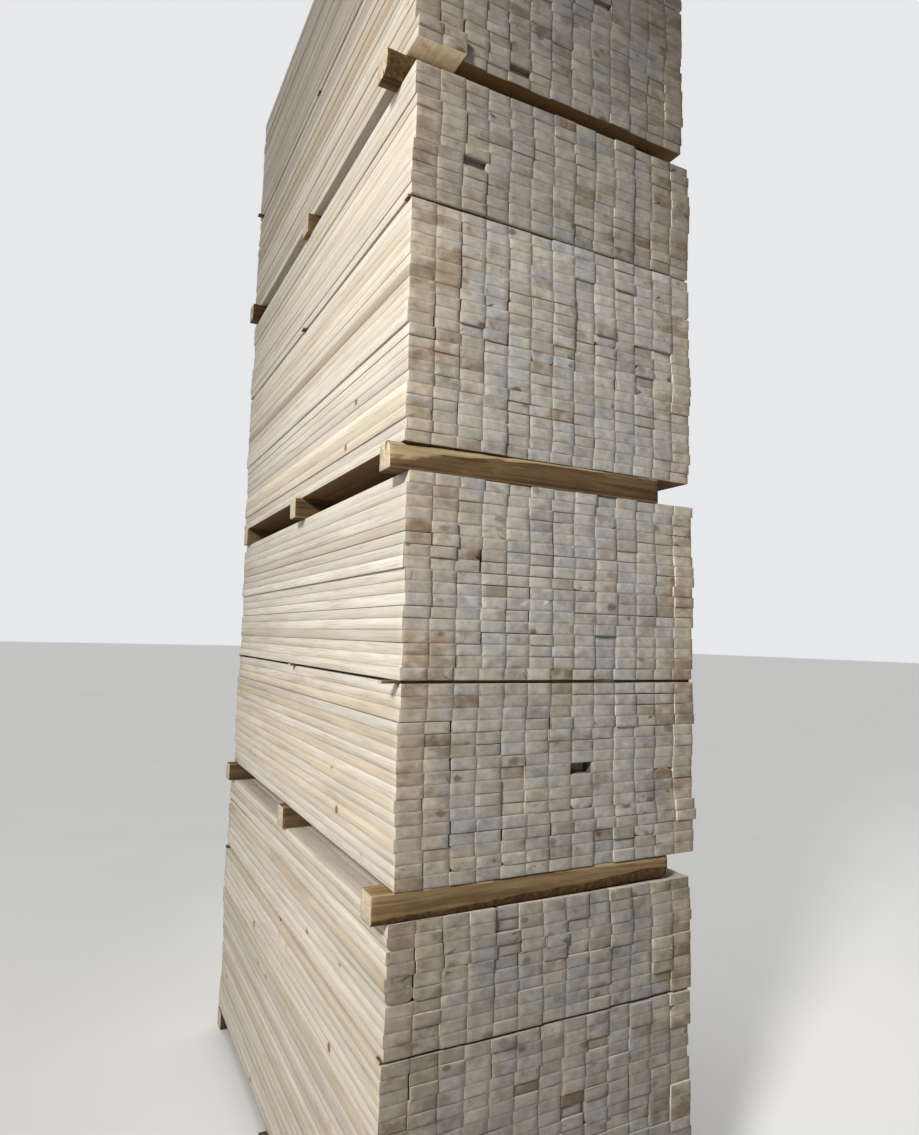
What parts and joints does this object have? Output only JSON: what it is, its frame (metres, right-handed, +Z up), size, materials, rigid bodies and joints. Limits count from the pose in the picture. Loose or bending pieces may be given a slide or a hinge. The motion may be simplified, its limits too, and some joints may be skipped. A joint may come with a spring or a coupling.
{
  "type": "stack of lumber",
  "caption": "Tall stack of packs of sawn boards lying flat, each pack on square timber bearers and parted into tiers by thin laths.",
  "frame": {"origin": "on the ground, at the middle of the bottom of the whole stack's bounding box", "axes": "+Z up, Y along the boards with the front ends looking along -Y, X along the end faces"},
  "size_m": [1.2608, 2.5132, 5.3853],
  "materials": {
    "sawn_board": "sawn softwood, weathered grey on the ends and pale cream on the long sides",
    "bearer_timber": "rough sawn square timber, weathered brown",
    "lath_wood": "rough sawn thin strip, weathered brown"
  },
  "bodies": {
    "root": {"bottom_pack_lower_tier_boards": "sawn_board", "bottom_pack_upper_tier_boards": "sawn_board", "second_pack_lower_tier_boards": "sawn_board", "second_pack_upper_tier_boards": "sawn_board", "third_pack_lower_tier_boards": "sawn_board", "third_pack_upper_tier_boards": "sawn_board", "top_pack_lower_tier_boards": "sawn_board", "top_pack_upper_tier_boards": "sawn_board", "bearer_front_under_bottom_pack": "bearer_timber", "bearer_middle_under_bottom_pack": "bearer_timber", "bearer_back_under_bottom_pack": "bearer_timber", "bearer_front_under_second_pack": "bearer_timber", "bearer_middle_under_second_pack": "bearer_timber", "bearer_back_under_second_pack": "bearer_timber", "bearer_front_under_third_pack": "bearer_timber", "bearer_middle_under_third_pack": "bearer_timber", "bearer_back_under_third_pack": "bearer_timber", "bearer_front_under_top_pack": "bearer_timber", "bearer_middle_under_top_pack": "bearer_timber", "bearer_back_under_top_pack": "bearer_timber", "lath_front_in_bottom_pack": "lath_wood", "lath_middle_in_bottom_pack": "lath_wood", "lath_back_in_bottom_pack": "lath_wood", "lath_front_in_second_pack": "lath_wood", "lath_middle_in_second_pack": "lath_wood", "lath_back_in_second_pack": "lath_wood", "lath_front_in_third_pack": "lath_wood", "lath_middle_in_third_pack": "lath_wood", "lath_back_in_third_pack": "lath_wood", "lath_front_in_top_pack": "lath_wood", "lath_middle_in_top_pack": "lath_wood", "lath_back_in_top_pack": "lath_wood"}
  },
  "joints": []
}
